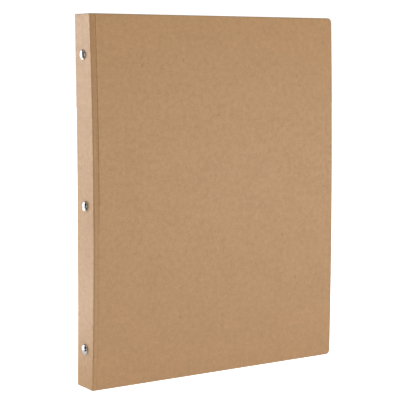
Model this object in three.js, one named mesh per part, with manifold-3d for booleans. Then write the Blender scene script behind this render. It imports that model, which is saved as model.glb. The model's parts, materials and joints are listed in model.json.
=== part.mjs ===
// Kraft-board three-ring album, standing closed on its bottom edges.
// Millimetres, +Z up. The spine is at -X, the fore edges at +X, the front cover at -Y.
// Shapes are drawn from the middle of the spine's outer face at the bottom edge; the finished
// album is then moved so that the origin is the centre of its footprint.

import * as THREE from 'three';
import { mergeVertices } from 'three/addons/utils/BufferGeometryUtils.js';
import Module from 'manifold-3d';

const wasm = await Module();
wasm.setup();

// Driving dimensions: the case
const ALBUM_HEIGHT = 292;
const COVER_WIDTH = 240; // spine's outer face to the fore edge
const SPINE_DEPTH = 27; // outer face of one cover to the other, at the spine
const CORE_THICKNESS = 1.5; // chipboard core
const FACING_THICKNESS = 0.25; // kraft paper, outside and inside
const GLUE_GAP = 0.05;
const SHEET_GAP = 0.1; // between pieces that end edge to edge
const SPINE_OUTER_HALF = 11.5; // half widths of the spine's three layers
const SPINE_CORE_HALF = 12.2;
const SPINE_INNER_HALF = 10.8;
const FOLD_RADIUS = 1.2;
const SCORE_END = 5; // the covers' boards start this far from the spine's outer face
const SCORE_DIP = 0.45; // the unbacked strip sinks this far between fold and board
const CORNER_RADIUS = 4;
const FRONT_OPENING = THREE.MathUtils.degToRad(-4); // past square to the spine, at rest
const BACK_OPENING = THREE.MathUtils.degToRad(11.7);

// Driving dimensions: the ring mechanism
const PLATE_LENGTH = 272;
const PLATE_WIDTH = 16;
const PLATE_RISE = 5.4; // height of its crown over its edges
const PLATE_WALL = 2.8; // height of its upright sides
const SHEET_STEEL = 0.9;
const MECHANISM_MIDDLE = 145.5;
const RING_SPACING = 108;
const RING_OFFSET = 6.9; // wire centre to the mechanism's middle plane
const RING_SHOULDER = 15.1; // the wire's leg is straight up to here
const WIRE_RADIUS = 1.1;
const RIVET_OFFSETS = { top: 115, middle: -2.5, bottom: -115 };
const SHANK_RADIUS = 2;
const RIVET_HEAD_RADIUS = 4.1;
const RIVET_HEAD_RISE = 2.3;
const SPACER_RADIUS = 3;
const BLADE_PIVOT_HEIGHT = 4.2;
const BLADE_SEAM = 0.3; // each blade's inner edge to the middle plane
const BLADE_TILT = THREE.MathUtils.degToRad(-4);
const LEVER_INSET = 3.6; // lever pivot to the plate's end
const LEVER_PIVOT_HEIGHT = 3.9;
const ROUND_STEPS = 28; // sides of the turned pieces

// Worked out from the above
const BOARD = CORE_THICKNESS + 2 * (FACING_THICKNESS + GLUE_GAP);
const HALF_DEPTH = SPINE_DEPTH / 2;
const HINGE_Y = HALF_DEPTH - FOLD_RADIUS;
const PLATE_FOOT = BOARD + 0.1;
const PLATE_CROWN = PLATE_FOOT + PLATE_RISE;
const PLATE_BOTTOM = MECHANISM_MIDDLE - PLATE_LENGTH / 2;

function material(color, roughness, metalness = 0) {
  return new THREE.MeshStandardMaterial({ color, roughness, metalness });
}

const chipboard = material(0x8f7f6a, 0.95);
const kraft = material(0xb8926b, 0.9);
const kraftInside = material(0xbf9c76, 0.9);
const nickel = material(0xc4c6c8, 0.25, 1);
const zincSteel = material(0xa9adb1, 0.35, 1);

function part(name, geometry, finish) {
  const mesh = new THREE.Mesh(geometry, finish);
  mesh.name = name;
  return mesh;
}

// Solids for the boolean cuts and joins

function toSolid(geometry) {
  const bare = geometry.clone();
  bare.deleteAttribute('normal');
  bare.deleteAttribute('uv');
  const merged = mergeVertices(bare, 1e-4);
  return new wasm.Manifold(new wasm.Mesh({
    numProp: 3,
    vertProperties: new Float32Array(merged.attributes.position.array),
    triVerts: new Uint32Array(merged.index.array),
  }));
}

function fromSolid(solid) {
  const mesh = solid.getMesh();
  const geometry = new THREE.BufferGeometry();
  geometry.setAttribute('position', new THREE.BufferAttribute(mesh.vertProperties, 3));
  geometry.setIndex(new THREE.BufferAttribute(mesh.triVerts, 1));
  geometry.computeVertexNormals();
  return geometry;
}

function cut(geometry, tools) {
  return fromSolid(tools.reduce((solid, tool) => solid.subtract(toSolid(tool)), toSolid(geometry)));
}

function join(geometries) {
  return fromSolid(geometries.map(toSolid).reduce((whole, piece) => whole.add(piece)));
}

function boxBetween(low, high) {
  const box = new THREE.BoxGeometry(high[0] - low[0], high[1] - low[1], high[2] - low[2]);
  return box.translate((low[0] + high[0]) / 2, (low[1] + high[1]) / 2, (low[2] + high[2]) / 2);
}

function cylinderAlongX(radius, from, to, y, z) {
  const cylinder = new THREE.CylinderGeometry(radius, radius, to - from, ROUND_STEPS);
  return cylinder.rotateZ(Math.PI / 2).translate((from + to) / 2, y, z);
}

function cylinderAlongY(radius, length, x, z) {
  return new THREE.CylinderGeometry(radius, radius, length, 24).translate(x, 0, z);
}

// Flat sheets and folded strips

// A sheet of even thickness along a path: each side is the path moved over by half of it.
function ribbon(path, thickness) {
  const sides = path.map((point, i) => {
    const before = path[Math.max(i - 1, 0)];
    const after = path[Math.min(i + 1, path.length - 1)];
    const into = point.clone().sub(before).normalize();
    const out = after.clone().sub(point).normalize();
    const along = into.clone().add(out).normalize();
    const reach = thickness / 2 / Math.max(along.dot(into), along.dot(out));
    return new THREE.Vector2(-along.y, along.x).multiplyScalar(reach);
  });
  const left = path.map((point, i) => point.clone().add(sides[i]));
  const right = path.map((point, i) => point.clone().sub(sides[i]));
  return new THREE.Shape([...left, ...right.reverse()]);
}

function extrudeUp(shape, bottom, top) {
  const geometry = new THREE.ExtrudeGeometry(shape, { depth: top - bottom, bevelEnabled: false });
  return geometry.translate(0, 0, bottom);
}

// A cover's layer: square at the fold, rounded at the two fore-edge corners.
function coverLayer(yLow, thickness) {
  const near = SCORE_END - FOLD_RADIUS;
  const far = COVER_WIDTH - FOLD_RADIUS;
  const r = CORNER_RADIUS;
  const outline = new THREE.Shape();
  outline.moveTo(near, 0);
  outline.lineTo(far - r, 0);
  outline.absarc(far - r, r, r, -Math.PI / 2, 0);
  outline.lineTo(far, ALBUM_HEIGHT - r);
  outline.absarc(far - r, ALBUM_HEIGHT - r, r, 0, Math.PI / 2);
  outline.lineTo(near, ALBUM_HEIGHT);
  const geometry = new THREE.ExtrudeGeometry(outline, {
    depth: thickness,
    bevelEnabled: false,
    curveSegments: 8,
  });
  return geometry.rotateX(Math.PI / 2).translate(0, yLow + thickness, 0);
}

// A spine layer with a round hole for each rivet.
function spineLayer(xLow, thickness, halfWidth) {
  const outline = new THREE.Shape();
  outline.moveTo(-halfWidth, 0);
  outline.lineTo(halfWidth, 0);
  outline.lineTo(halfWidth, ALBUM_HEIGHT);
  outline.lineTo(-halfWidth, ALBUM_HEIGHT);
  for (const offset of Object.values(RIVET_OFFSETS)) {
    const hole = new THREE.Path();
    hole.absarc(0, MECHANISM_MIDDLE + offset, SHANK_RADIUS + 0.2, 0, 2 * Math.PI, true);
    outline.holes.push(hole);
  }
  const geometry = new THREE.ExtrudeGeometry(outline, {
    depth: thickness,
    bevelEnabled: false,
    curveSegments: 16,
  });
  return geometry.rotateX(Math.PI / 2).rotateZ(Math.PI / 2).translate(xLow, 0, 0);
}

// A cover's pieces stand in a group turned about its fold. side is -1 in front, 1 behind.
function cover(name, side, opening) {
  const group = new THREE.Group();
  group.position.set(FOLD_RADIUS, side * HINGE_Y, 0);
  group.rotation.z = side * opening;
  const layers = [
    ['outer_facing', FACING_THICKNESS, FOLD_RADIUS, kraft],
    ['core', CORE_THICKNESS, FOLD_RADIUS - FACING_THICKNESS - GLUE_GAP, chipboard],
    ['inner_facing', FACING_THICKNESS, FOLD_RADIUS - BOARD + FACING_THICKNESS, kraftInside],
  ];
  for (const [layer, thickness, outer, finish] of layers) {
    const low = side > 0 ? outer - thickness : -outer;
    group.add(part(`${name}_${layer}`, coverLayer(low, thickness), finish));
  }
  return group;
}

function spine() {
  const group = new THREE.Group();
  const coreStart = FACING_THICKNESS + GLUE_GAP;
  const innerStart = BOARD - FACING_THICKNESS;
  group.add(part('spine_outer_facing', spineLayer(0, FACING_THICKNESS, SPINE_OUTER_HALF), kraft));
  group.add(part('spine_core', spineLayer(coreStart, CORE_THICKNESS, SPINE_CORE_HALF), chipboard));
  group.add(part(
    'spine_inner_facing',
    spineLayer(innerStart, FACING_THICKNESS, SPINE_INNER_HALF),
    kraftInside,
  ));
  return group;
}

// A point of the turned cover, in the spine's frame, for the cover behind (side 1).
function coverPoint(opening, x, y) {
  return new THREE.Vector2(x, y).rotateAround(new THREE.Vector2(), opening)
    .add(new THREE.Vector2(FOLD_RADIUS, HINGE_Y));
}

const STRIP_END = SCORE_END - FOLD_RADIUS - SHEET_GAP;

// The facing outside the fold: flat on the spine, round the fold, then sunk a little to the board.
function outerFoldPath(opening) {
  const radius = FOLD_RADIUS - FACING_THICKNESS / 2;
  const path = [new THREE.Vector2(FACING_THICKNESS / 2, SPINE_OUTER_HALF + SHEET_GAP)];
  const bends = 8;
  for (let i = 0; i <= bends; i += 1) {
    const angle = Math.PI - (i / bends) * (Math.PI / 2 - opening);
    path.push(new THREE.Vector2(Math.cos(angle), Math.sin(angle)).multiplyScalar(radius)
      .add(new THREE.Vector2(FOLD_RADIUS, HINGE_Y)));
  }
  const steps = 8;
  for (let i = 1; i <= steps; i += 1) {
    const dip = SCORE_DIP * Math.sin((i / steps) * Math.PI) ** 2;
    path.push(coverPoint(opening, (i / steps) * STRIP_END, radius - dip));
  }
  return path;
}

// The facing inside the fold: a soft bend from the spine's inner face to the cover's.
function innerFoldPath(opening) {
  const spineX = BOARD - FACING_THICKNESS / 2;
  const coverY = FOLD_RADIUS - BOARD + FACING_THICKNESS / 2;
  const start = new THREE.Vector2(spineX, SPINE_INNER_HALF + SHEET_GAP);
  const corner = coverPoint(opening, BOARD - FOLD_RADIUS, coverY);
  const end = coverPoint(opening, STRIP_END, coverY);
  return new THREE.QuadraticBezierCurve(start, corner, end).getPoints(10);
}

function foldStrip(name, path, side, finish) {
  const placed = path.map((point) => new THREE.Vector2(point.x, side * point.y));
  return part(name, extrudeUp(ribbon(placed, FACING_THICKNESS), 0.2, ALBUM_HEIGHT - 0.2), finish);
}

// The ring mechanism

const atEachRing = { top: RING_SPACING, middle: 0, bottom: -RING_SPACING };

function ringPlate() {
  const halfWidth = (PLATE_WIDTH - SHEET_STEEL) / 2;
  const shoulder = PLATE_FOOT + PLATE_WALL;
  const crown = PLATE_CROWN - SHEET_STEEL / 2;
  const sagitta = crown - shoulder;
  const radius = (halfWidth ** 2 + sagitta ** 2) / (2 * sagitta);
  const sweep = Math.asin(halfWidth / radius);
  const path = [new THREE.Vector2(PLATE_FOOT, -halfWidth)];
  const steps = 12;
  for (let i = 0; i <= steps; i += 1) {
    const angle = sweep * ((2 * i) / steps - 1);
    path.push(new THREE.Vector2(
      crown - radius + radius * Math.cos(angle),
      radius * Math.sin(angle),
    ));
  }
  path.push(new THREE.Vector2(PLATE_FOOT, halfWidth));
  const channel = extrudeUp(ribbon(path, SHEET_STEEL), PLATE_BOTTOM, PLATE_BOTTOM + PLATE_LENGTH);
  const ringSlots = Object.values(atEachRing).flatMap((offset) => [-1, 1].map((side) => {
    const edges = [side * 5, side * (PLATE_WIDTH / 2 + 1)];
    const z = MECHANISM_MIDDLE + offset;
    return boxBetween([4.35, Math.min(...edges), z - 2], [PLATE_CROWN + 1, Math.max(...edges), z + 2]);
  }));
  const rivetHoles = Object.values(RIVET_OFFSETS).map((offset) => (
    cylinderAlongX(SHANK_RADIUS + 0.25, 5, PLATE_CROWN + 1, 0, MECHANISM_MIDDLE + offset)
  ));
  const leverHoles = [1, -1].map((end) => (
    cylinderAlongY(0.95, PLATE_WIDTH + 2, LEVER_PIVOT_HEIGHT, leverHeight(end))
  ));
  return part('ring_plate', cut(channel, [...ringSlots, ...rivetHoles, ...leverHoles]), nickel);
}

function leverHeight(end) {
  return MECHANISM_MIDDLE + end * (PLATE_LENGTH / 2 - LEVER_INSET);
}

// One of the two blades that meet under the plate's crown; it turns about its outer edge.
function blade(name, side) {
  const width = RING_OFFSET - BLADE_SEAM;
  const halfLength = PLATE_LENGTH / 2 - LEVER_INSET - 1.6;
  const low = [-SHEET_STEEL / 2, -width, -halfLength];
  const strip = boxBetween(low, [SHEET_STEEL / 2, 0, halfLength]);
  strip.rotateZ(BLADE_TILT).translate(BLADE_PIVOT_HEIGHT, RING_OFFSET, 0);
  if (side < 0) {
    strip.rotateX(Math.PI);
  }
  strip.translate(0, 0, MECHANISM_MIDDLE);
  const rivetNotches = Object.values(RIVET_OFFSETS).map((offset) => (
    cylinderAlongX(SPACER_RADIUS + 0.5, 1, PLATE_CROWN, 0, MECHANISM_MIDDLE + offset)
  ));
  return part(name, cut(strip, rivetNotches), zincSteel);
}

class HalfRingPath extends THREE.Curve {
  constructor(side) {
    super();
    this.side = side;
    this.foot = BLADE_PIVOT_HEIGHT + SHEET_STEEL / 2 + 0.1;
    this.leg = RING_SHOULDER - this.foot;
    this.turn = Math.acos(0.15 / RING_OFFSET);
    this.total = this.leg + RING_OFFSET * this.turn;
  }

  getPoint(t) {
    const run = t * this.total;
    const angle = Math.max(run - this.leg, 0) / RING_OFFSET;
    const x = Math.min(this.foot + run, RING_SHOULDER) + RING_OFFSET * Math.sin(angle);
    return new THREE.Vector3(x, this.side * RING_OFFSET * Math.cos(angle), 0);
  }
}

function halfRing(name, side, height) {
  const section = new THREE.Shape();
  section.absarc(0, 0, WIRE_RADIUS, 0, 2 * Math.PI);
  const geometry = new THREE.ExtrudeGeometry(section, {
    extrudePath: new HalfRingPath(side),
    steps: 24,
    curveSegments: 6,
    bevelEnabled: false,
  });
  return part(name, geometry.translate(0, 0, height), nickel);
}

// Domed head outside the spine, hollow shank through spine and plate, end curled over the plate.
function rivet(name, height) {
  const profile = [new THREE.Vector2(0, -RIVET_HEAD_RISE)];
  const domeSteps = 8;
  for (let i = 1; i <= domeSteps; i += 1) {
    const angle = (i / domeSteps) * (Math.PI / 2);
    profile.push(new THREE.Vector2(
      RIVET_HEAD_RADIUS * Math.sin(angle),
      -0.4 - (RIVET_HEAD_RISE - 0.4) * Math.cos(angle),
    ));
  }
  const curlStart = PLATE_CROWN + 0.05;
  profile.push(new THREE.Vector2(RIVET_HEAD_RADIUS, -0.05));
  profile.push(new THREE.Vector2(SHANK_RADIUS, -0.05));
  profile.push(new THREE.Vector2(SHANK_RADIUS, curlStart));
  profile.push(new THREE.Vector2(3, curlStart));
  profile.push(new THREE.Vector2(3.1, curlStart + 0.3));
  profile.push(new THREE.Vector2(2.6, curlStart + 0.7));
  profile.push(new THREE.Vector2(1.6, curlStart + 0.6));
  profile.push(new THREE.Vector2(1.3, curlStart));
  profile.push(new THREE.Vector2(1.3, 2));
  profile.push(new THREE.Vector2(0, 2));
  const geometry = new THREE.LatheGeometry(profile, ROUND_STEPS);
  return part(name, geometry.rotateZ(-Math.PI / 2).translate(0, 0, height), nickel);
}

// The sleeve that keeps the plate off the spine when the rivet is set.
function spacer(name, height) {
  const inner = SHANK_RADIUS + 0.15;
  const low = BOARD + 0.05;
  const high = PLATE_CROWN - SHEET_STEEL - 0.45;
  const section = [[inner, low], [SPACER_RADIUS, low], [SPACER_RADIUS, high], [inner, high]];
  const profile = [...section, section[0]].map(([r, x]) => new THREE.Vector2(r, x));
  const geometry = new THREE.LatheGeometry(profile, ROUND_STEPS);
  return part(name, geometry.rotateZ(-Math.PI / 2).translate(0, 0, height), zincSteel);
}

// A thumb lever, drawn at the top end with its pivot at the origin: X off the spine, Z outward.
function lever(name, end) {
  const across = (path, thickness, width) => {
    const strip = new THREE.ExtrudeGeometry(
      ribbon(path.map(([z, x]) => new THREE.Vector2(x, z)), thickness),
      { depth: width, bevelEnabled: false },
    );
    return strip.rotateX(Math.PI / 2).translate(0, width / 2, 0);
  };
  const hub = cylinderAlongY(1.2, 8, 0, 0);
  const trunnions = cylinderAlongY(0.7, PLATE_WIDTH - 0.2, 0, 0);
  const tongue = boxBetween([-1.5, -1.2, -2.8], [-0.85, 1.2, 0.3]);
  const arm = across([[0, 0], [4.6, 1.3], [5.6, 3.4]], 1.1, 8);
  const thumb = across([[4.9, 1.9], [6.6, 5.6], [8.4, 9.5]], 1.1, 12);
  const geometry = join([hub, trunnions, tongue, arm, thumb]);
  const group = new THREE.Group();
  group.add(part(name, end > 0 ? geometry : geometry.rotateX(Math.PI), nickel));
  group.position.set(LEVER_PIVOT_HEIGHT, 0, leverHeight(end));
  return group;
}

const album = new THREE.Group();
album.add(spine());
album.add(cover('front', -1, FRONT_OPENING));
album.add(cover('back', 1, BACK_OPENING));
for (const [name, side, opening] of [['front', -1, FRONT_OPENING], ['back', 1, BACK_OPENING]]) {
  album.add(foldStrip(`${name}_outer_fold`, outerFoldPath(opening), side, kraft));
  album.add(foldStrip(`${name}_inner_fold`, innerFoldPath(opening), side, kraftInside));
  album.add(blade(`${name}_blade`, side));
  for (const [place, offset] of Object.entries(atEachRing)) {
    album.add(halfRing(`ring_${place}_${name}_half`, side, MECHANISM_MIDDLE + offset));
  }
}
album.add(ringPlate());
for (const [place, offset] of Object.entries(RIVET_OFFSETS)) {
  album.add(rivet(`rivet_${place}`, MECHANISM_MIDDLE + offset));
  album.add(spacer(`spacer_${place}`, MECHANISM_MIDDLE + offset));
}
album.add(lever('lever_top', 1));
album.add(lever('lever_bottom', -1));

const footprint = new THREE.Box3().setFromObject(album).getCenter(new THREE.Vector3());
album.position.set(-footprint.x, -footprint.y, 0);

export default album;
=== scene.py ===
import json
import math

import bmesh
import bpy
from mathutils import Matrix, Quaternion, Vector


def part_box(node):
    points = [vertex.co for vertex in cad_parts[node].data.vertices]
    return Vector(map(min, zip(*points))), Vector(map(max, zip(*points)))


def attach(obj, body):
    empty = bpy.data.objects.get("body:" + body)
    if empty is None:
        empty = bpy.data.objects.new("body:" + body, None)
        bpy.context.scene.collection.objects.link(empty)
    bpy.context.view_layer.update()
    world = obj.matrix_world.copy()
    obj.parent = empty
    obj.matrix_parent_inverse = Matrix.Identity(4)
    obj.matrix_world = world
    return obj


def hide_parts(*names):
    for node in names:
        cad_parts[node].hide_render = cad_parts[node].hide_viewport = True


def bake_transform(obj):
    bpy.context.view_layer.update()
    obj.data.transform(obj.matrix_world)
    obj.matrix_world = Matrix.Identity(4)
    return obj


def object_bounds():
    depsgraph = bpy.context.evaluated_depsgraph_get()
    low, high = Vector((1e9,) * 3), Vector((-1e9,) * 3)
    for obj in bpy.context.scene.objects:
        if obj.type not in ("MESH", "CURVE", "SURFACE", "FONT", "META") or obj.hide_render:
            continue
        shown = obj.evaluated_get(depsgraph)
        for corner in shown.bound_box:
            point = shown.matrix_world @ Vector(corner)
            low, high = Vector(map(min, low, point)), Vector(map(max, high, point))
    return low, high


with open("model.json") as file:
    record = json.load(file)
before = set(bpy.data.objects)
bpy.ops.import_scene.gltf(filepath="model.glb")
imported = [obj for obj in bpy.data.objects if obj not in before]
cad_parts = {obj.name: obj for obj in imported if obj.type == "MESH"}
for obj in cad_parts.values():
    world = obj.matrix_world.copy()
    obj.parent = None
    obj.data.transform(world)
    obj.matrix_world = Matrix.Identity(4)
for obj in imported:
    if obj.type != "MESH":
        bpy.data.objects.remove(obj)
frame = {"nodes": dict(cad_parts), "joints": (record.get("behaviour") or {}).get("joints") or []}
cad_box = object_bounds()

MM = 0.001
SIDES = {"front": -1, "back": 1}
PLACES = ("top", "middle", "bottom")

# The case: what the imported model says, and the board's make-up
HEIGHT = cad_box[1].z - cad_box[0].z
SPINE_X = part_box("spine_outer_facing")[0].x
MIDDLE_Y = (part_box("spine_outer_facing")[0].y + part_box("spine_outer_facing")[1].y) / 2
SPINE_PAPER_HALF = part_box("spine_outer_facing")[1].y - MIDDLE_Y
SPINE_CORE_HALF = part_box("spine_core")[1].y - MIDDLE_Y
SPINE_INNER_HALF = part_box("spine_inner_facing")[1].y - MIDDLE_Y
PAPER = 0.25 * MM
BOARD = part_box("spine_inner_facing")[1].x - SPINE_X
HINGES = {joint["name"]: Vector(joint["pos_m"]) for joint in frame["joints"]}
FOLD_RADIUS = HINGES["front_cover_hinge"].x - SPINE_X
HINGE_HALF = MIDDLE_Y - HINGES["front_cover_hinge"].y
RIVET_BOXES = [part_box(f"rivet_{place}") for place in PLACES]
RIVET_HEIGHTS = [(low.z + high.z) / 2 for low, high in RIVET_BOXES]
LEAN = {"front": math.radians(-4), "back": math.radians(11.7)}  # past square to the spine
COVER_REACH = 238.8 * MM  # fold to fore edge
SCORE_REACH = 3.8 * MM  # fold to where the covers' chipboard starts
CORNER = 4 * MM
SPINE_BOW = 1.7 * MM  # how far the spine has bowed in at mid-height
SPINE_TWIST = 0.65 * MM  # more at its front edge, less at its back
FORE_EDGE_BOW = 1.7 * MM
EDGE_CRUSH = 0.2 * MM  # how far die-cutting rounds each face at an outer edge
EDGE_CRUSH_REACH = 0.9 * MM

# The folds. Places along them count from where the paper meets the cover's plane
CREASE_START = -1.2 * MM  # on the fold's own curve
CREASE_REACH = 2.0 * MM  # the pressed line
CREASE_RISE = 1.5 * MM
CREASE_DEPTH = 0.26 * MM
PAINTED_SHADE_START = -2 * MM  # start of the painted crease shade, a darker band beside the fold
PAINTED_SHADE_END = 2.6 * MM
PAINTED_SHADE_EDGE = 0.6 * MM  # it fades over this at both sides
PAINTED_SHADE_FULL = 0.75  # of the height: the painted shade is strongest from here up, fading to none at the bottom
LINING = 0.7 * MM  # strip and paste behind the paper at each fold
LINING_TAPER = 0.45 * MM

# How finely the sheets are cut
UPRIGHT_CUTS = 26
END_MARGIN = 10 * MM  # even cuts up the sheet stop this far from its ends
FORE_MARGIN = 6 * MM  # and even cuts across it this far from its fore edge
COVER_CUTS = 16
CORE_CUTS = 14
FOLD_CUTS = 10
SCORE_CUTS = 18
INNER_FOLD_CUTS = 12
SPINE_CUTS = 12

# The fittings
DIMPLE_DEPTH = 0.18 * MM  # how far each rivet draws the spine in around it
DIMPLE_REACH = 5 * MM
DIMPLE_CUTS_REACH = 9 * MM
HEAD_RADIUS = 4.1 * MM
HEAD_RISE = 2.0 * MM
HEAD_RIM = 0.55 * MM  # where the dome starts
SHANK_RADIUS = 2 * MM
BORE_RADIUS = 1.3 * MM
BORE_FLOOR = 2 * MM
CURL_CLEARANCE = 0.05 * MM
TURNED_SIDES = 48
WIRE_SIDES = 20
LEG_CUTS = 4
QUARTER_CUTS = 16
TIP_GAP = 0.15 * MM  # each half ring stops this short of the middle
TIP_WALL = 0.42  # of the wire's radius, left round the pin and the socket
PIN_LENGTH = 0.45 * MM
SOCKET_DEPTH = 0.6 * MM
BLADE_WIDTH = 0.955  # of the blades' own width: bowed, they keep clear of the plate as they turn
EASED_EDGE = 0.15 * MM
SLEEVE_EDGE = 0.08 * MM
BOW_CUTS_EVERY = 12 * MM
MERGE = 0.001 * MM  # points closer than this are one
SAME_PLANE = math.radians(1)
SHARP_EDGE = math.radians(35)


# Laying flat sheets and bending them into place


def flat_sheet(length, thickness, across, up):
    """A sheet lying in X and Z, cut at the given places.
    Its outer face is at y 0 and its inner face at y thickness."""
    bm = bmesh.new()
    bmesh.ops.create_grid(bm, x_segments=1, y_segments=1, size=0.5)
    upright = Matrix.Rotation(math.pi / 2, 3, "X")
    bmesh.ops.rotate(bm, verts=bm.verts, cent=(0, 0, 0), matrix=upright)
    bmesh.ops.translate(bm, verts=bm.verts, vec=(0.5, 0, 0.5))
    bmesh.ops.scale(bm, verts=bm.verts, vec=(length, 1, up[-1] - up[0]))
    bmesh.ops.translate(bm, verts=bm.verts, vec=(0, 0, up[0]))
    for place in across[1:-1]:
        slice_at(bm, (place, 0, 0), (1, 0, 0))
    for place in up[1:-1]:
        slice_at(bm, (0, 0, place), (0, 0, 1))
    grown = bmesh.ops.extrude_face_region(bm, geom=bm.faces[:], use_keep_orig=True)
    moved = [v for v in grown["geom"] if isinstance(v, bmesh.types.BMVert)]
    bmesh.ops.translate(bm, verts=moved, vec=(0, thickness, 0))
    bmesh.ops.recalc_face_normals(bm, faces=bm.faces)
    return bm


def slice_at(bm, place, normal):
    whole = bm.verts[:] + bm.edges[:] + bm.faces[:]
    bmesh.ops.bisect_plane(bm, geom=whole, plane_co=place, plane_no=normal, dist=1e-7)


def steps(start, end, count):
    return [start + (end - start) * i / count for i in range(count + 1)]


def near_edge(edge, inward):
    """Cuts close together just inside an edge, where it is crushed and its corners turn."""
    return [edge + inward * reach * MM for reach in (0.2, 0.5, 0.9, 1.4, 2, 2.7, 3.35, 4)]


def cuts_up(extra=()):
    return sorted({
        0,
        HEIGHT,
        *near_edge(0, 1),
        *near_edge(HEIGHT, -1),
        *steps(END_MARGIN, HEIGHT - END_MARGIN, UPRIGHT_CUTS),
        *extra,
    })


def past_corner(along, z, length):
    """How far past a far corner's middle a place is, along the sheet and up or down."""
    return along - (length - CORNER), max(z - (HEIGHT - CORNER), CORNER - z)


def turn_corner(along, z, length):
    """Moves a place on a square-cornered sheet to its round-cornered outline."""
    over, above = past_corner(along, z, length)
    if over <= 0 or above <= 0:
        return along, z
    ratio = max(over, above) / math.hypot(over, above)
    middle = HEIGHT - CORNER if z > HEIGHT / 2 else CORNER
    return length - CORNER + over * ratio, middle + (z - middle) * ratio


def rim_distance(along, z, length):
    """How far inside the outline a place is; the edge at along 0 is joined on and doesn't count."""
    over, above = past_corner(along, z, length)
    if over > 0 and above > 0:
        return CORNER - math.hypot(over, above)
    return min(length - along, z, HEIGHT - z)


def crushed(depth, rim):
    """Depth from the board's outer face, drawn toward the middle of the board at its rim."""
    share = max(0, 1 - rim / EDGE_CRUSH_REACH) ** 2
    return depth + share * EDGE_CRUSH * (1 - 2 * depth / BOARD)


def bowed(x, y, z):
    """A place on the square case, moved in by the bow of its spine and its fore edges."""
    rise = 2 * z / HEIGHT - 1
    reach = min(max((x - SPINE_X) / COVER_REACH, 0), 1)
    near_spine = SPINE_BOW + SPINE_TWIST * (MIDDLE_Y - y) / HINGE_HALF
    bow = near_spine * (1 - reach) + FORE_EDGE_BOW * reach
    return Vector((x + bow * (1 - rise * rise), y, z))


def bow_piece(bm):
    for vert in bm.verts:
        vert.co = bowed(*vert.co)


def spine_place(across, depth):
    """X and Y of a place on the spine, by its distance from the middle."""
    return SPINE_X + depth, MIDDLE_Y + across


def cover_place(side, along, depth):
    """X and Y of a place on a cover, by its distance from the fold."""
    lean = LEAN[side]
    out = FOLD_RADIUS - depth
    x = FOLD_RADIUS + along * math.cos(lean) - out * math.sin(lean)
    y = HINGE_HALF + along * math.sin(lean) + out * math.cos(lean)
    return SPINE_X + x, MIDDLE_Y + SIDES[side] * y


def score_dip(along):
    """How far the unbacked paper slopes in, from the fold to its crease and out again."""
    sunk = (along - CREASE_START) / (CREASE_REACH - CREASE_START)
    past = min(max((along - CREASE_REACH) / CREASE_RISE, 0), 1)
    return CREASE_DEPTH * min(max(sunk, 0), 1) * (1 - past * past * (3 - 2 * past))


def mark_painted_crease_shade(bm, fold_end):
    """Marks where shade is painted beside the fold, as a darker band, from 0 to 1."""
    painted_crease_shade = bm.verts.layers.float.new("painted_crease_shade")
    for vert in bm.verts:
        along = vert.co.x - fold_end
        inside = min(along - PAINTED_SHADE_START, PAINTED_SHADE_END - along) / PAINTED_SHADE_EDGE
        vert[painted_crease_shade] = min(max(inside, 0), 1) * min(vert.co.z / (PAINTED_SHADE_FULL * HEIGHT), 1)


def outer_lengths(side):
    """Lengths of the outer paper's first two parts: on the spine, and round the fold."""
    on_spine = HINGE_HALF - SPINE_PAPER_HALF
    return on_spine, FOLD_RADIUS * (math.pi / 2 - LEAN[side])


def outer_place(side, along, depth):
    """The outer paper: a little of the spine, the fold, the score and the whole cover."""
    on_spine, arc = outer_lengths(side)
    if along <= on_spine:
        x, y = spine_place(SPINE_PAPER_HALF + along, depth)
        return x, MIDDLE_Y + SIDES[side] * (y - MIDDLE_Y)
    if along <= on_spine + arc:
        angle = math.pi - (along - on_spine) / FOLD_RADIUS
        radius = FOLD_RADIUS - depth - score_dip(along - on_spine - arc)
        x = SPINE_X + FOLD_RADIUS + radius * math.cos(angle)
        return x, MIDDLE_Y + SIDES[side] * (HINGE_HALF + radius * math.sin(angle))
    on_cover = along - on_spine - arc
    return cover_place(side, on_cover, depth + score_dip(on_cover))


def lining(along, start, end):
    """How far the strip pasted behind a fold stands in from its paper, thinning at both edges."""
    inside = min(along - start, end - along) / LINING_TAPER
    return LINING * min(max(inside, 0), 1)


def inner_bend(side):
    """Start, corner and end of the inner paper's bend, with its length."""
    start = Vector((SPINE_X + BOARD, MIDDLE_Y + SIDES[side] * SPINE_INNER_HALF))
    corner = Vector(cover_place(side, BOARD - FOLD_RADIUS, BOARD))
    end = Vector(cover_place(side, SCORE_REACH, BOARD))
    length = (corner - start).length * 0.5 + (end - start).length * 0.5
    return start, corner, end, length


def inner_place(side, along, depth):
    """The inner paper: from the spine's edge round the inside of the fold and along the cover."""
    start, corner, end, length = inner_bend(side)
    height = BOARD - depth
    if along >= length:
        return cover_place(side, SCORE_REACH + along - length, depth)
    share = along / length
    point = start * (1 - share) ** 2 + corner * 2 * share * (1 - share) + end * share * share
    way = ((corner - start) * (1 - share) + (end - corner) * share).normalized()
    out = Vector((-way.y, way.x)) * SIDES[side]
    return tuple(point + out * height)


def lay(bm, place, length=None):
    """Bends a flat sheet into place, and keeps each point's place on the flat for its pattern.
    With a length, the far corners are rounded and the fore edge counts as rim."""
    flat = bm.loops.layers.uv.new("flat")
    rim = bm.verts.layers.float.new("rim")
    for face in bm.faces:
        for loop in face.loops:
            loop[flat].uv = (loop.vert.co.x, loop.vert.co.z)
    for vert in bm.verts:
        along, depth, z = vert.co
        if length is None:
            distance = min(z, HEIGHT - z)
        else:
            along, z = turn_corner(along, z, length)
            distance = rim_distance(along, z, length)
        vert[rim] = max(distance, 0)
        vert.co = bowed(*place(along, crushed(depth, distance)), z)


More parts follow.
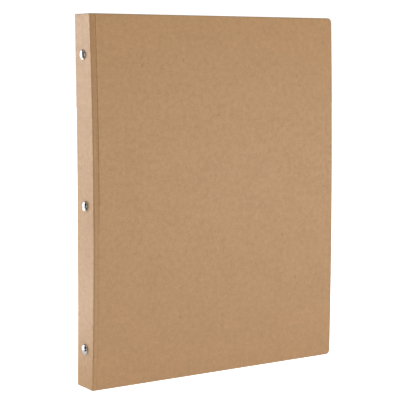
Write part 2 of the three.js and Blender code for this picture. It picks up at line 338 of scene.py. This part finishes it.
def finish_piece(name, bm, material, smooth_angle=40):
    """Makes the piece, smooth but for edges sharper than the angle in degrees."""
    mesh = bpy.data.meshes.new(name)
    bm.to_mesh(mesh)
    bm.free()
    mesh.materials.append(material)
    mesh.shade_smooth()
    mesh.set_sharp_from_angle(angle=math.radians(smooth_angle))
    piece = bpy.data.objects.new(name, mesh)
    bpy.context.scene.collection.objects.link(piece)
    return piece


# Finishes: shared effects


def new_group(name, inputs, outputs):
    group = bpy.data.node_groups.new(name, "ShaderNodeTree")
    for label, kind, value in inputs:
        socket = group.interface.new_socket(name=label, in_out="INPUT", socket_type=kind)
        if value is not None:
            socket.default_value = value
    for label, kind in outputs:
        group.interface.new_socket(name=label, in_out="OUTPUT", socket_type=kind)
    return group, group.nodes.new("NodeGroupInput"), group.nodes.new("NodeGroupOutput")


def add(tree, kind, **settings):
    """A node with its properties and unlinked inputs set; a socket is given as a link's source."""
    node = tree.nodes.new(kind)
    for key, value in settings.items():
        if key.startswith("in_"):
            label = key[3:]
            socket = node.inputs[int(label) if label.isdigit() else label.replace("_", " ")]
            if isinstance(value, bpy.types.NodeSocket):
                tree.links.new(value, socket)
            else:
                socket.default_value = value
        else:
            setattr(node, key, value)
    return node


def noise(tree, vector, scale, detail=2.0, roughness=0.5):
    """Smooth random values; the scale counts its features in a metre."""
    node = add(
        tree,
        "ShaderNodeTexNoise",
        in_Vector=vector,
        in_Scale=scale,
        in_Detail=detail,
        in_Roughness=roughness,
    )
    return node.outputs["Fac"]


def math_node(tree, operation, first, second=0.0, third=0.0):
    node = add(
        tree, "ShaderNodeMath", operation=operation, in_0=first, in_1=second, in_2=third
    )
    return node.outputs[0]


def centred(tree, value, weight, tone):
    """Adds a 0 to 1 value to a tone, about its middle and by its weight."""
    return math_node(tree, "MULTIPLY_ADD", math_node(tree, "SUBTRACT", value, 0.5), weight, tone)


def ramp(tree, value, low, high, to_low=0.0, to_high=1.0):
    """Eases a value's range from low to high into another; low may be the greater."""
    node = add(
        tree,
        "ShaderNodeMapRange",
        interpolation_type="SMOOTHSTEP",
        in_Value=value,
        in_1=low,
        in_2=high,
        in_3=to_low,
        in_4=to_high,
    )
    return node.outputs[0]


def blend_colour(tree, amount, first, second):
    node = add(tree, "ShaderNodeMix", data_type="RGBA")
    for index, value in ((0, amount), (6, first), (7, second)):
        if isinstance(value, bpy.types.NodeSocket):
            tree.links.new(value, node.inputs[index])
        else:
            node.inputs[index].default_value = value
    return node.outputs[2]


def stretch(tree, vector, scale, turn=0.0):
    """A pattern's place, turned in its plane; below 1, a scale draws the pattern out."""
    node = add(
        tree, "ShaderNodeMapping", in_Vector=vector, in_Scale=scale, in_Rotation=(0, 0, turn)
    )
    return node.outputs[0]


FIBRE_LAYERS = ((0.12, 1900.0), (1.35, 1500.0), (-0.75, 1700.0))  # turn, fibres in a metre
FELT_MIDDLE = 1.35  # about the middle value of the fibre layers' sum


def make_paper_grain():
    """Pulp fibres, cloudy formation, pale flecks and dark specks, in metres on the sheet."""
    group, given, result = new_group(
        "paper grain",
        [("Vector", "NodeSocketVector", None), ("Coarseness", "NodeSocketFloat", 1.0)],
        [
            ("Tone", "NodeSocketFloat"),
            ("Flecks", "NodeSocketFloat"),
            ("Specks", "NodeSocketFloat"),
            ("Height", "NodeSocketFloat"),
        ],
    )
    size = add(group, "ShaderNodeVectorMath", operation="SCALE", in_0=given.outputs[0])
    group.links.new(given.outputs[1], size.inputs["Scale"])
    place = size.outputs[0]
    warp = add(group, "ShaderNodeTexNoise", in_Vector=place, in_Scale=90.0, in_Detail=1.0)
    bent = add(group, "ShaderNodeMix", data_type="VECTOR", in_0=0.012)
    group.links.new(place, bent.inputs[4])
    group.links.new(warp.outputs["Color"], bent.inputs[5])
    strands = []
    for turn, across in FIBRE_LAYERS:
        laid = stretch(group, bent.outputs[1], (1.0, 0.16, 1.0), turn)
        strands.append(ramp(group, noise(group, laid, across, 3.0, 0.6), 0.38, 0.66))
    felt = math_node(group, "ADD", math_node(group, "ADD", strands[0], strands[1]), strands[2])
    mottle = noise(group, place, 620.0, 3.0, 0.6)
    tone = math_node(group, "MULTIPLY", math_node(group, "SUBTRACT", felt, FELT_MIDDLE), 0.32)
    tone = centred(group, mottle, 2.4, tone)
    tone = centred(group, noise(group, place, 235.0, 2.0, 0.6), 2.35, tone)
    tone = centred(group, noise(group, place, 42.0, 4.0, 0.62), 0.9, tone)
    group.links.new(tone, result.inputs["Tone"])
    fleck_place = stretch(group, bent.outputs[1], (1.0, 0.42, 1.0), 0.5)
    few = ramp(group, noise(group, place, 210.0, 1.0), 0.5, 0.62)
    flecks = scattered(group, fleck_place, 330.0, 0.34, 0.06, few)
    group.links.new(flecks, result.inputs["Flecks"])
    speck_place = stretch(group, place, (1.0, 0.55, 1.0), -0.9)
    fewer = ramp(group, noise(group, place, 57.0, 1.0), 0.5, 0.66)
    specks = scattered(group, speck_place, 150.0, 0.16, 0.03, fewer)
    group.links.new(specks, result.inputs["Specks"])
    relief = math_node(group, "MULTIPLY_ADD", felt, 0.35, mottle)
    group.links.new(relief, result.inputs["Height"])
    return group


def scattered(tree, place, scale, edge, middle, where):
    """Spots, one to a cell, from nothing at their edge to full near their middle."""
    spot = add(tree, "ShaderNodeTexVoronoi", in_Vector=place, in_Scale=scale, in_Randomness=1.0)
    return math_node(tree, "MULTIPLY", ramp(tree, spot.outputs["Distance"], edge, middle), where)


def make_rim_wear():
    """Scuffed, slightly soiled paper along the free edges of a board."""
    group, given, result = new_group(
        "rim wear",
        [
            ("Vector", "NodeSocketVector", None),
            ("Rim", "NodeSocketFloat", 1.0),
            ("Reach", "NodeSocketFloat", 0.001),
        ],
        [("Wear", "NodeSocketFloat")],
    )
    ragged = noise(group, given.outputs["Vector"], 900.0, 3.0, 0.65)
    uneven = ramp(group, ragged, 0.3, 0.75, 0.35, 1.7)
    reach = math_node(group, "MULTIPLY", given.outputs["Reach"], uneven)
    near = math_node(group, "DIVIDE", given.outputs["Rim"], reach)
    group.links.new(ramp(group, near, 1.0, 0.15), result.inputs["Wear"])
    return group


def make_brushing():
    """Fine marks drawn along a metal strip, with a few handling smudges."""
    group, given, result = new_group(
        "metal marks",
        [("Vector", "NodeSocketVector", None), ("Fineness", "NodeSocketFloat", 1.0)],
        [
            ("Streaks", "NodeSocketFloat"),
            ("Smudges", "NodeSocketFloat"),
            ("Height", "NodeSocketFloat"),
        ],
    )
    size = add(group, "ShaderNodeVectorMath", operation="SCALE", in_0=given.outputs[0])
    group.links.new(given.outputs[1], size.inputs["Scale"])
    drawn = stretch(group, size.outputs[0], (1.0, 1.0, 0.05))
    streaks = noise(group, drawn, 2600.0, 3.0, 0.6)
    smudges = noise(group, size.outputs[0], 130.0, 3.0, 0.55)
    dents = noise(group, size.outputs[0], 420.0, 1.0)
    group.links.new(streaks, result.inputs["Streaks"])
    group.links.new(ramp(group, smudges, 0.42, 0.7), result.inputs["Smudges"])
    group.links.new(math_node(group, "MULTIPLY_ADD", dents, 0.6, streaks), result.inputs["Height"])
    return group


PAPER_GRAIN = make_paper_grain()
RIM_WEAR = make_rim_wear()
METAL_MARKS = make_brushing()


def new_material(name, roughness, specular=0.5, metallic=0.0):
    material = bpy.data.materials.new(name)
    material.use_nodes = True
    shader = material.node_tree.nodes["Principled BSDF"]
    shader.inputs["Roughness"].default_value = roughness
    shader.inputs["Specular IOR Level"].default_value = specular
    shader.inputs["Metallic"].default_value = metallic
    return material, material.node_tree, shader


def bump(tree, shader, height, strength, distance):
    node = add(tree, "ShaderNodeBump", in_Strength=strength, in_Distance=distance, in_Height=height)
    tree.links.new(node.outputs[0], shader.inputs["Normal"])


def group_node(tree, group, **inputs):
    return add(tree, "ShaderNodeGroup", node_tree=group, **inputs)


def overlaid(tree, colour, mask, strength, over):
    """Another colour laid over one, as strongly as its mask says."""
    return blend_colour(tree, math_node(tree, "MULTIPLY", mask, strength), colour, over)


RIM_WEAR_REACH = 1.1 * MM


def kraft(name, base, fibre, fleck, speck, painted_shade_colour, worn, roughness, specular, depth):
    """Natural kraft paper, patterned on the flat sheet it was cut from."""
    material, tree, shader = new_material(name, roughness, specular)
    flat = add(tree, "ShaderNodeUVMap", uv_map="flat").outputs[0]
    rim = add(tree, "ShaderNodeAttribute", attribute_name="rim").outputs["Fac"]
    painted_crease_shade = add(tree, "ShaderNodeAttribute", attribute_name="painted_crease_shade").outputs["Fac"]
    grain = group_node(tree, PAPER_GRAIN, in_Vector=flat)
    rims = group_node(tree, RIM_WEAR, in_Vector=flat, in_Rim=rim, in_Reach=RIM_WEAR_REACH)
    wear = rims.outputs[0]
    dark = tuple(c * (1 - fibre) for c in base[:3]) + (1,)
    light = tuple(c * (1 + fibre) for c in base[:3]) + (1,)
    tone = ramp(tree, grain.outputs["Tone"], -1.2, 1.2)
    colour = blend_colour(tree, tone, dark, light)
    colour = overlaid(tree, colour, grain.outputs["Flecks"], 0.25, fleck)
    colour = overlaid(tree, colour, grain.outputs["Specks"], 0.55, speck)
    # painted shade: the darker band along the fold, laid over the paper's colour
    colour = overlaid(tree, colour, painted_crease_shade, 0.5, painted_shade_colour)
    colour = overlaid(tree, colour, wear, 0.75, worn)
    tree.links.new(colour, shader.inputs["Base Color"])
    rough = ramp(tree, grain.outputs["Tone"], -1.0, 1.0, roughness + 0.06, roughness - 0.06)
    tree.links.new(math_node(tree, "MULTIPLY_ADD", wear, 0.15, rough), shader.inputs["Roughness"])
    bump(tree, shader, grain.outputs["Height"], 0.35, depth)
    return material


KRAFT_OUTSIDE = kraft(
    "kraft outside",
    base=(0.415, 0.226, 0.088, 1),
    fibre=0.122,
    fleck=(0.56, 0.36, 0.19, 1),
    speck=(0.19, 0.1, 0.045, 1),
    # colour of the painted crease shade beside the fold
    painted_shade_colour=(0.31, 0.165, 0.055, 1),
    worn=(0.34, 0.25, 0.165, 1),
    roughness=0.46,
    specular=0.6,
    depth=0.06 * MM,
)
KRAFT_INSIDE = kraft(
    "kraft inside",
    base=(0.47, 0.275, 0.135, 1),
    fibre=0.1,
    fleck=(0.6, 0.42, 0.25, 1),
    speck=(0.2, 0.11, 0.055, 1),
    # colour of the painted crease shade; the inner paper carries no band to use it
    painted_shade_colour=(0.34, 0.19, 0.08, 1),
    worn=(0.36, 0.27, 0.18, 1),
    roughness=0.66,
    specular=0.4,
    depth=0.08 * MM,
)


def chipboard(name):
    """Raw grey-brown board: short coarse fibres in layers, with pale and dark shreds."""
    material, tree, shader = new_material(name, 0.9, 0.25)
    where = add(tree, "ShaderNodeTexCoord").outputs["Object"]
    layered = stretch(tree, where, (1.0, 1.0, 0.25))
    grain = group_node(tree, PAPER_GRAIN, in_Vector=layered, in_Coarseness=1.3)
    tone = ramp(tree, grain.outputs["Tone"], -0.8, 0.8)
    colour = blend_colour(tree, tone, (0.2, 0.155, 0.11, 1), (0.36, 0.29, 0.215, 1))
    colour = overlaid(tree, colour, grain.outputs["Flecks"], 0.7, (0.5, 0.44, 0.36, 1))
    colour = blend_colour(tree, grain.outputs["Specks"], colour, (0.09, 0.075, 0.06, 1))
    tree.links.new(colour, shader.inputs["Base Color"])
    rough = ramp(tree, grain.outputs["Tone"], -1.0, 1.0, 0.96, 0.84)
    tree.links.new(rough, shader.inputs["Roughness"])
    bump(tree, shader, grain.outputs["Height"], 0.6, 0.12 * MM)
    return material


def metal(name, base, dull, roughness, spread, fineness, depth):
    """Plated steel with drawn marks, faint smudges and a slightly uneven plating."""
    material, tree, shader = new_material(name, roughness, 0.5, 1.0)
    where = add(tree, "ShaderNodeTexCoord").outputs["Object"]
    marks = group_node(tree, METAL_MARKS, in_Vector=where, in_Fineness=fineness)
    colour = blend_colour(tree, marks.outputs["Smudges"], base, dull)
    tree.links.new(colour, shader.inputs["Base Color"])
    half = spread / 2
    rough = ramp(tree, marks.outputs["Streaks"], 0.3, 0.7, roughness - half, roughness + half)
    rough = math_node(tree, "MULTIPLY_ADD", marks.outputs["Smudges"], spread, rough)
    tree.links.new(rough, shader.inputs["Roughness"])
    bump(tree, shader, marks.outputs["Height"], 0.25, depth)
    return material


CHIPBOARD = chipboard("chipboard")
NICKEL_RIVETS = metal(
    "nickel rivets",
    base=(0.64, 0.63, 0.61, 1),
    dull=(0.52, 0.51, 0.49, 1),
    roughness=0.17,
    spread=0.08,
    fineness=1.0,
    depth=0.03 * MM,
)
NICKEL_RINGS = metal(
    "nickel rings",
    base=(0.66, 0.65, 0.63, 1),
    dull=(0.54, 0.53, 0.51, 1),
    roughness=0.2,
    spread=0.1,
    fineness=0.8,
    depth=0.03 * MM,
)
ZINC_STEEL = metal(
    "zinc steel",
    base=(0.6, 0.62, 0.64, 1),
    dull=(0.46, 0.48, 0.5, 1),
    roughness=0.36,
    spread=0.14,
    fineness=0.5,
    depth=0.04 * MM,
)


# The case


def make_outer_paper(side):
    on_spine, arc = outer_lengths(side)
    to_board = on_spine + arc + SCORE_REACH
    length = on_spine + arc + COVER_REACH
    across = sorted({
        0,
        length,
        *steps(on_spine, on_spine + arc, FOLD_CUTS),
        *steps(on_spine + arc, to_board, SCORE_CUTS),
        *steps(to_board + 1 * MM, length - FORE_MARGIN, COVER_CUTS),
        *near_edge(length, -1),
    })
    bm = flat_sheet(length, PAPER, across, cuts_up())
    # where shade is painted beside the fold
    mark_painted_crease_shade(bm, on_spine + arc)
    for vert in bm.verts:
        if vert.co.y > 0:
            vert.co.y += lining(vert.co.x, on_spine, to_board)
    lay(bm, lambda along, depth: outer_place(side, along, depth), length)
    piece = finish_piece(f"{side}_cover_paper_outside", bm, KRAFT_OUTSIDE)
    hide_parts(f"{side}_outer_facing", f"{side}_outer_fold")
    spine_edge = outer_place(side, on_spine, PAPER)
    bend_at_fold(piece, spine_edge)


def make_inner_paper(side):
    start, _, end, bend = inner_bend(side)
    length = bend + COVER_REACH - SCORE_REACH
    across = sorted({
        0,
        length,
        *steps(0, bend, INNER_FOLD_CUTS),
        *steps(bend + 1 * MM, length - FORE_MARGIN, COVER_CUTS),
        *near_edge(length, -1),
    })
    bm = flat_sheet(length, PAPER, across, cuts_up())
    for vert in bm.verts:
        vert.co.y = BOARD - vert.co.y
    bmesh.ops.reverse_faces(bm, faces=bm.faces)
    lay(bm, lambda along, depth: inner_place(side, along, depth), length)
    piece = finish_piece(f"{side}_cover_paper_inside", bm, KRAFT_INSIDE)
    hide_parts(f"{side}_inner_facing", f"{side}_inner_fold")
    bend_at_fold(piece, start)


def bend_at_fold(piece, spine_edge):
    """Fixes the laid paper's place into its mesh; the paper doesn't turn with the cover. The place
    on the spine's edge where it has bowed in furthest is worked out but not used."""
    start = bowed(*spine_edge, HEIGHT / 2)
    start.z = 0
    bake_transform(piece)


def make_cover_core(side):
    length = COVER_REACH - SCORE_REACH
    even = steps(2 * MM, length - FORE_MARGIN, CORE_CUTS)
    across = sorted({0, length, *even, *near_edge(length, -1)})
    bm = flat_sheet(length, BOARD - 2 * PAPER, across, cuts_up())
    bmesh.ops.translate(bm, verts=bm.verts, vec=(0, PAPER, 0))
    lay(bm, lambda along, depth: cover_place(side, SCORE_REACH + along, depth), length)
    piece = finish_piece(f"{side}_cover_chipboard", bm, CHIPBOARD)
    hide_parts(f"{side}_core")
    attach(piece, f"{side}_cover")


def make_spine_layer(name, half, outer, inner, finish, node):
    """One layer of the spine, with its outer and inner faces at the given depths."""
    across = steps(0, 2 * half, SPINE_CUTS)
    offsets = steps(-DIMPLE_CUTS_REACH, DIMPLE_CUTS_REACH, SPINE_CUTS)
    around = [z + offset for z in RIVET_HEIGHTS for offset in offsets]
    bm = flat_sheet(2 * half, inner - outer, across, cuts_up(around))
    bmesh.ops.translate(bm, verts=bm.verts, vec=(0, outer, 0))
    lay(bm, lambda along, depth: spine_place(along - half, depth))
    for vert in bm.verts:
        near = min(math.hypot(vert.co.y - MIDDLE_Y, vert.co.z - z) for z in RIVET_HEIGHTS)
        vert.co.x += DIMPLE_DEPTH * math.exp(-((near / DIMPLE_REACH) ** 2))
    bmesh.ops.recalc_face_normals(bm, faces=bm.faces)
    piece = finish_piece(name, bm, finish)
    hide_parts(node)
    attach(piece, "spine")


for side in SIDES:
    make_outer_paper(side)
    make_inner_paper(side)
    make_cover_core(side)
make_spine_layer(
    "spine_paper_outside",
    half=SPINE_PAPER_HALF,
    outer=0,
    inner=PAPER,
    finish=KRAFT_OUTSIDE,
    node="spine_outer_facing",
)
make_spine_layer(
    "spine_chipboard",
    half=SPINE_CORE_HALF,
    outer=PAPER,
    inner=BOARD - PAPER,
    finish=CHIPBOARD,
    node="spine_core",
)
make_spine_layer(
    "spine_paper_inside",
    half=SPINE_INNER_HALF,
    outer=BOARD - PAPER,
    inner=BOARD,
    finish=KRAFT_INSIDE,
    node="spine_inner_facing",
)


# The fittings, rebuilt from their solids


def refined(node, name, body, finish, edge=EASED_EDGE, width=1.0):
    """A copy of a metal part with eased edges, at a share of its width, that follows the bow."""
    bm = bmesh.new()
    bm.from_mesh(frame["nodes"][node].data)
    bmesh.ops.remove_doubles(bm, verts=bm.verts, dist=MERGE)
    bmesh.ops.dissolve_limit(bm, angle_limit=SAME_PLANE, verts=bm.verts, edges=bm.edges)
    for vert in bm.verts:
        vert.co.y = MIDDLE_Y + width * (vert.co.y - MIDDLE_Y)
    low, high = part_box(node)
    sharp = [e for e in bm.edges if e.is_manifold and e.calc_face_angle() > SHARP_EDGE]
    bmesh.ops.bevel(
        bm,
        geom=sharp,
        offset=edge,
        affect="EDGES",
        segments=2,
        profile=0.5,
        material=-1,
        clamp_overlap=True,
    )
    count = max(2, round((high.z - low.z) / BOW_CUTS_EVERY))
    for place in steps(low.z, high.z, count)[1:-1]:
        slice_at(bm, (0, 0, place), (0, 0, 1))
    bow_piece(bm)
    piece = finish_piece(name, bm, finish, 35)
    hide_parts(node)
    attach(piece, body)


def turned(profile, z):
    """A profile of (reach from the axis, x) points, spun round an axis square to the spine."""
    bm = bmesh.new()
    points = [bm.verts.new((x, MIDDLE_Y + reach, z)) for reach, x in profile]
    for first, second in zip(points, points[1:]):
        bm.edges.new((first, second))
    bmesh.ops.spin(
        bm,
        geom=bm.verts[:] + bm.edges[:],
        cent=(0, MIDDLE_Y, z),
        axis=(1, 0, 0),
        angle=2 * math.pi,
        steps=TURNED_SIDES,
        use_merge=True,
    )
    bmesh.ops.remove_doubles(bm, verts=bm.verts, dist=MERGE)
    bmesh.ops.recalc_face_normals(bm, faces=bm.faces)
    return bm


def rivet_profile(crown):
    """Domed head with a rolled rim, shank, and its end curled over the plate."""
    dome = [
        (HEAD_RADIUS * 0.93 * math.sin(a), -HEAD_RIM - (HEAD_RISE - HEAD_RIM) * math.cos(a))
        for a in steps(0, math.radians(84), 12)
    ]
    dome[0] = (0, -HEAD_RISE)
    rolled = [(0.97, -0.5), (1, -0.28), (0.985, -0.02), (0.9, 0.12)]
    rim = [(HEAD_RADIUS * reach, x * MM) for reach, x in rolled]
    shank = [(SHANK_RADIUS, rim[-1][1]), (SHANK_RADIUS, crown)]
    curl = [(2.9, 0), (3.1, 0.25), (2.95, 0.6), (2.5, 0.75), (1.9, 0.65), (1.5, 0.3), (1.35, 0)]
    curled = [(reach * MM, crown + out * MM) for reach, out in curl]
    bore = [(BORE_RADIUS, BORE_FLOOR), (0, BORE_FLOOR)]
    return [(reach, SPINE_X + x) for reach, x in dome + rim + shank + curled + bore]


def make_rivets():
    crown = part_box("ring_plate")[1].x - SPINE_X + CURL_CLEARANCE
    for place, z in zip(PLACES, RIVET_HEIGHTS):
        bm = turned(rivet_profile(crown), z)
        shift = bowed(SPINE_X, MIDDLE_Y, z).x - SPINE_X
        bmesh.ops.translate(bm, verts=bm.verts, vec=(shift, 0, 0))
        piece = finish_piece(f"rivet_{place}_domed", bm, NICKEL_RIVETS, 50)
        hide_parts(f"rivet_{place}")
        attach(piece, "spine")


def make_half_ring(side, place):
    """Round wire: a straight leg up from the blade, then a quarter turn to meet the other half."""
    node = f"ring_{place}_{side}_half"
    low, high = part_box(node)
    wire = (high.z - low.z) / 2
    z = (low.z + high.z) / 2
    outer = low.y if side == "front" else high.y
    offset = abs(outer - MIDDLE_Y) - wire
    shoulder = high.x - offset - wire
    foot = Vector((low.x, MIDDLE_Y + SIDES[side] * offset, z))
    bm = bmesh.new()
    upright = Matrix.Translation(foot) @ Matrix.Rotation(math.pi / 2, 4, "Y")
    bmesh.ops.create_circle(
        bm, cap_ends=True, segments=WIRE_SIDES, radius=wire, matrix=upright
    )
    end = bm.faces[:]
    for _ in range(LEG_CUTS):
        end = extended(bm, end, ((shoulder - foot.x) / LEG_CUTS, 0, 0))
    quarter = math.acos(TIP_GAP / offset)
    end_edges = list({e for f in end for e in f.edges})
    end_verts = list({v for f in end for v in f.verts})
    result = bmesh.ops.spin(
        bm,
        geom=end + end_edges + end_verts,
        cent=(shoulder, MIDDLE_Y, z),
        axis=(0, 0, 1),
        angle=-SIDES[side] * quarter,
        steps=QUARTER_CUTS,
    )
    tip = [f for f in result["geom_last"] if isinstance(f, bmesh.types.BMFace)]
    left = [f for f in end if f.is_valid and f not in tip]
    bmesh.ops.delete(bm, geom=left, context="FACES_ONLY")
    shape_tip(bm, tip, side, wire)
    bmesh.ops.remove_doubles(bm, verts=bm.verts, dist=MERGE)
    bmesh.ops.recalc_face_normals(bm, faces=bm.faces)
    shift = bowed(foot.x, foot.y, z).x - foot.x
    bmesh.ops.translate(bm, verts=bm.verts, vec=(shift, 0, 0))
    piece = finish_piece(f"ring_{place}_{side}", bm, NICKEL_RINGS, 45)
    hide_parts(node)
    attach(piece, f"{side}_rings")


def extended(bm, faces, way):
    """Pushes end faces on by a vector and gives the new end faces."""
    grown = bmesh.ops.extrude_face_region(bm, geom=faces)
    moved = [v for v in grown["geom"] if isinstance(v, bmesh.types.BMVert)]
    bmesh.ops.translate(bm, verts=moved, vec=way)
    return [f for f in grown["geom"] if isinstance(f, bmesh.types.BMFace)]


def shape_tip(bm, tip, side, wire):
    """The ends lock: a small pin on the front half, a socket in the back half."""
    bmesh.ops.inset_region(bm, faces=tip, thickness=wire * TIP_WALL, depth=0)
    normal = Vector((0, -SIDES[side], 0))
    extended(bm, tip, normal * (PIN_LENGTH if side == "front" else -SOCKET_DEPTH))


make_rivets()
for side in SIDES:
    for place in PLACES:
        make_half_ring(side, place)
    refined(
        f"{side}_blade",
        f"{side}_blade_steel",
        f"{side}_rings",
        ZINC_STEEL,
        width=BLADE_WIDTH,
    )
refined("ring_plate", "ring_plate_arched", "spine", NICKEL_RINGS)
for place in PLACES:
    refined(
        f"spacer_{place}",
        f"spacer_{place}_sleeve",
        "spine",
        ZINC_STEEL,
        edge=SLEEVE_EDGE,
    )
for place in ("top", "bottom"):
    refined(
        f"lever_{place}",
        f"lever_{place}_thumb",
        f"{place}_lever",
        NICKEL_RINGS,
    )


# The studio: pale floor, soft light, camera
WHITE = (1, 1, 1, 1)
FLOOR_SIZE = 12
FLOOR_GAP = 0.05 * MM
FLOOR_GLOW = 1.2
FLOOR_MIRRORED = 0.95
ROOM_LIGHT = 0.2
ROOM_SEEN = 1.1
ROOM_MIRRORED = 0.12
OVERHEAD_POWER = 0.9
OVERHEAD_SPREAD = math.radians(40)
VIEW_YAW = math.radians(-31)
VIEW_DOWN = math.radians(4.36)
VIEW_ROLL = math.radians(-0.09)
VIEW_AIM = Vector((0, -2.8 * MM, 167.1 * MM))
VIEW_DISTANCE = 1.1514
LENS = 124.5
SENSOR = 36
VIEW_SHIFT = -0.081


def mottled(tree, shader, amount, shades):
    """A neutral colour that varies between two shades."""
    low, high = ((shade, shade, shade, 1) for shade in shades)
    tree.links.new(blend_colour(tree, amount, low, high), shader.inputs["Base Color"])


def make_floor():
    """Pale and lit from within; polished metal and paper see it a little darker."""
    low = cad_box[0].z - FLOOR_GAP
    bpy.ops.mesh.primitive_plane_add(size=FLOOR_SIZE, location=(0, 0, low))
    floor = bpy.context.object
    floor.name = "studio_floor"
    material, tree, shader = new_material("studio floor", 0.9, 0.1)
    where = add(tree, "ShaderNodeTexCoord").outputs["Object"]
    mottled(tree, shader, noise(tree, where, 3.0), (0.82, 0.86))
    shader.inputs["Emission Color"].default_value = WHITE
    shader.inputs["Emission Strength"].default_value = FLOOR_GLOW
    mirrored = add(tree, "ShaderNodeEmission", in_Color=WHITE, in_Strength=FLOOR_MIRRORED)
    path = add(tree, "ShaderNodeLightPath")
    either = add(tree, "ShaderNodeMixShader", in_0=path.outputs["Is Glossy Ray"])
    tree.links.new(shader.outputs[0], either.inputs[1])
    tree.links.new(mirrored.outputs[0], either.inputs[2])
    tree.links.new(either.outputs[0], tree.nodes["Material Output"].inputs["Surface"])
    floor.data.materials.append(material)


def direction(angle, up):
    """Away from the album: round from its front, and up."""
    return Vector((math.sin(angle) * math.cos(up), -math.cos(angle) * math.cos(up), math.sin(up)))


def softbox(name, azimuth, rise, distance, size, power):
    """An area light aimed at the album's middle.
    Azimuth 0 is in front of the cover, 90 beyond the fore edge."""
    angle, up = math.radians(azimuth), math.radians(rise)
    aim = (cad_box[0] + cad_box[1]) / 2
    way = direction(angle, up)
    data = bpy.data.lights.new(name, "AREA")
    data.shape = "RECTANGLE"
    data.size, data.size_y = size
    data.energy = power
    light = bpy.data.objects.new(name, data)
    bpy.context.scene.collection.objects.link(light)
    light.location = aim + way * distance
    light.rotation_euler = way.to_track_quat("Z", "Y").to_euler()


def card(name, azimuth, near, size, shades, glow=0.0, lying=False):
    """A card by the spine that shows only in reflections: upright, or lying from near outwards."""
    bpy.ops.mesh.primitive_plane_add(size=1)
    piece = bpy.context.object
    piece.name = name
    angle = math.radians(azimuth)
    way = direction(angle, 0)
    floor = Vector((SPINE_X, MIDDLE_Y, cad_box[0].z + 1 * MM))
    if lying:
        middle = floor + way * (near + size[1] / 2)
        turn = Matrix.Rotation(angle, 4, "Z")
    else:
        middle = floor + way * near + Vector((0, 0, size[1] / 2))
        turn = way.to_track_quat("Z", "Y").to_matrix().to_4x4()
    piece.data.transform(Matrix.Translation(middle) @ turn @ Matrix.Diagonal((*size, 1, 1)))
    material, tree, shader = new_material(name.replace("_", " "), 0.9, 0.0)
    where = add(tree, "ShaderNodeTexCoord").outputs["Object"]
    mottled(tree, shader, noise(tree, where, 6.0), shades)
    shader.inputs["Emission Color"].default_value = WHITE
    shader.inputs["Emission Strength"].default_value = glow
    piece.data.materials.append(material)
    piece.visible_camera = piece.visible_diffuse = piece.visible_shadow = False
    piece.visible_transmission = piece.visible_volume_scatter = False


def make_overhead():
    data = bpy.data.lights.new("overhead", "SUN")
    data.energy = OVERHEAD_POWER
    data.angle = OVERHEAD_SPREAD
    light = bpy.data.objects.new("overhead", data)
    bpy.context.scene.collection.objects.link(light)


def make_room():
    """White seen directly, dimmer as light, and dimmer still in reflections."""
    world = bpy.data.worlds.new("studio room")
    bpy.context.scene.world = world
    world.use_nodes = True
    tree = world.node_tree
    light = tree.nodes["Background"]
    light.inputs["Color"].default_value = WHITE
    light.inputs["Strength"].default_value = ROOM_LIGHT
    seen = add(tree, "ShaderNodeBackground", in_Color=WHITE, in_Strength=ROOM_SEEN)
    shiny = add(tree, "ShaderNodeBackground", in_Color=WHITE, in_Strength=ROOM_MIRRORED)
    path = add(tree, "ShaderNodeLightPath")
    first = add(tree, "ShaderNodeMixShader", in_0=path.outputs["Is Glossy Ray"])
    tree.links.new(light.outputs[0], first.inputs[1])
    tree.links.new(shiny.outputs[0], first.inputs[2])
    second = add(tree, "ShaderNodeMixShader", in_0=path.outputs["Is Camera Ray"])
    tree.links.new(first.outputs[0], second.inputs[1])
    tree.links.new(seen.outputs[0], second.inputs[2])
    tree.links.new(second.outputs[0], tree.nodes["World Output"].inputs["Surface"])


def make_camera():
    back = direction(VIEW_YAW, VIEW_DOWN)
    camera = bpy.data.objects.new("camera", bpy.data.cameras.new("camera"))
    bpy.context.scene.collection.objects.link(camera)
    camera.location = VIEW_AIM + back * VIEW_DISTANCE
    camera.rotation_mode = "QUATERNION"
    roll = Quaternion((0, 0, 1), VIEW_ROLL)
    camera.rotation_quaternion = (-back).to_track_quat("-Z", "Y") @ roll
    camera.data.lens = LENS
    camera.data.sensor_width = SENSOR
    camera.data.shift_y = VIEW_SHIFT
    camera.data.clip_end = 60
    bpy.context.scene.camera = camera


make_floor()
card("studio_dark_card", -80, near=0.4, size=(0.56, 0.6), shades=(0.015, 0.03))
card("studio_dark_mat", -80, near=0.06, size=(0.56, 0.34), shades=(0.015, 0.03), lying=True)
card(
    "studio_pale_mat", -149, near=0.12, size=(0.5, 0.55), shades=(0.8, 0.85), glow=1.7, lying=True
)
card("studio_pale_card", -34, near=0.45, size=(0.2, 0.6), shades=(0.5, 0.6), glow=0.25)
softbox("key", azimuth=-146, rise=10, distance=1.4, size=(0.9, 1.0), power=9.8)
softbox("floor bounce", azimuth=-156, rise=-21.5, distance=0.34, size=(0.24, 0.03), power=0.13)
softbox("right fill", azimuth=40, rise=-2, distance=0.8, size=(0.4, 0.25), power=1.05)
make_overhead()
make_room()
make_camera()
bpy.context.scene.view_settings.view_transform = "Standard"
